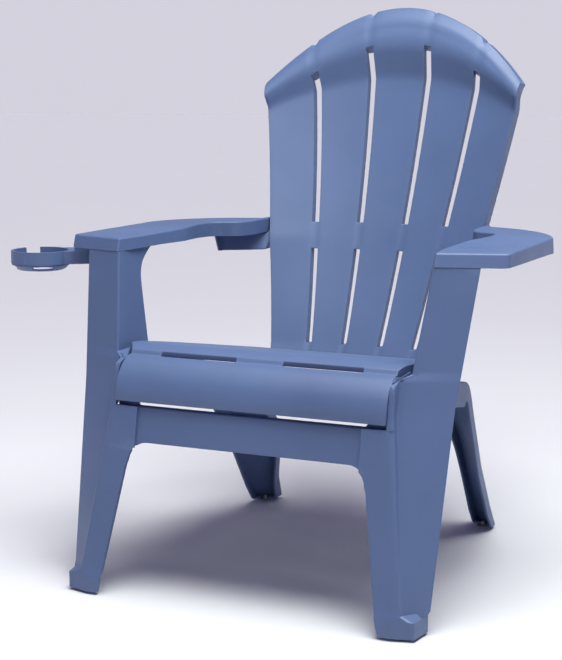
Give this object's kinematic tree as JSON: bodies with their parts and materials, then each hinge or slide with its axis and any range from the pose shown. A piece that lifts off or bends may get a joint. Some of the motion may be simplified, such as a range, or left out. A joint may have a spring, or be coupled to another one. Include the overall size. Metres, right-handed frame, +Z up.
{
  "type": "adirondack chair",
  "caption": "Moulded resin adirondack chair with a slatted fan back, a sloping slatted seat with a rolled front edge, wide flat armrests and a swing-out cup holder",
  "frame": {"origin": "on the ground under the middle of the bounding box", "axes": "+Z up, the chair faces -Y, +X is the sitter's left; its plane of symmetry, cup holder apart, is X = 0.0609"},
  "size_m": [0.873, 0.8034, 0.9443],
  "materials": {
    "resin": "satin, lightly textured moulded resin",
    "glide": "matt nylon",
    "steel": "plated steel"
  },
  "bodies": {
    "chair": {"apron_inner_screw_left": "steel", "apron_inner_screw_right": "steel", "apron_outer_screw_left": "steel", "apron_outer_screw_right": "steel", "arm_front_screw_left": "steel", "arm_front_screw_right": "steel", "arm_rear_screw_left": "steel", "arm_rear_screw_right": "steel", "armrest_left": "resin", "armrest_right": "resin", "back_foot_screw_left": "steel", "back_foot_screw_right": "steel", "back_panel": "resin", "back_rail": "resin", "cup_holder_pivot_screw": "steel", "front_apron": "resin", "front_glide_left": "glide", "front_glide_right": "glide", "front_leg_left": "resin", "front_leg_right": "resin", "leg_front_bolt_left": "steel", "leg_front_bolt_right": "steel", "leg_rear_bolt_left": "steel", "leg_rear_bolt_right": "steel", "rail_screw_left": "steel", "rail_screw_right": "steel", "rear_glide_left": "glide", "rear_glide_right": "glide", "rear_leg_left": "resin", "rear_leg_right": "resin", "rear_stretcher": "resin", "seat_front_screw_left": "steel", "seat_front_screw_right": "steel", "seat_panel": "resin", "seat_rear_screw_left": "steel", "seat_rear_screw_right": "steel", "stretcher_screw_left": "steel", "stretcher_screw_right": "steel"},
    "holder": {"cup_holder": "resin", "cup_cradle": "resin"}
  },
  "joints": [
    {"name": "cup_holder_swing", "type": "hinge", "parent": "chair", "child": "holder", "pos_m": [-0.2711, -0.1372, 0.5125], "axis": [0, 0, -1], "range_deg": [0, 123]}
  ]
}
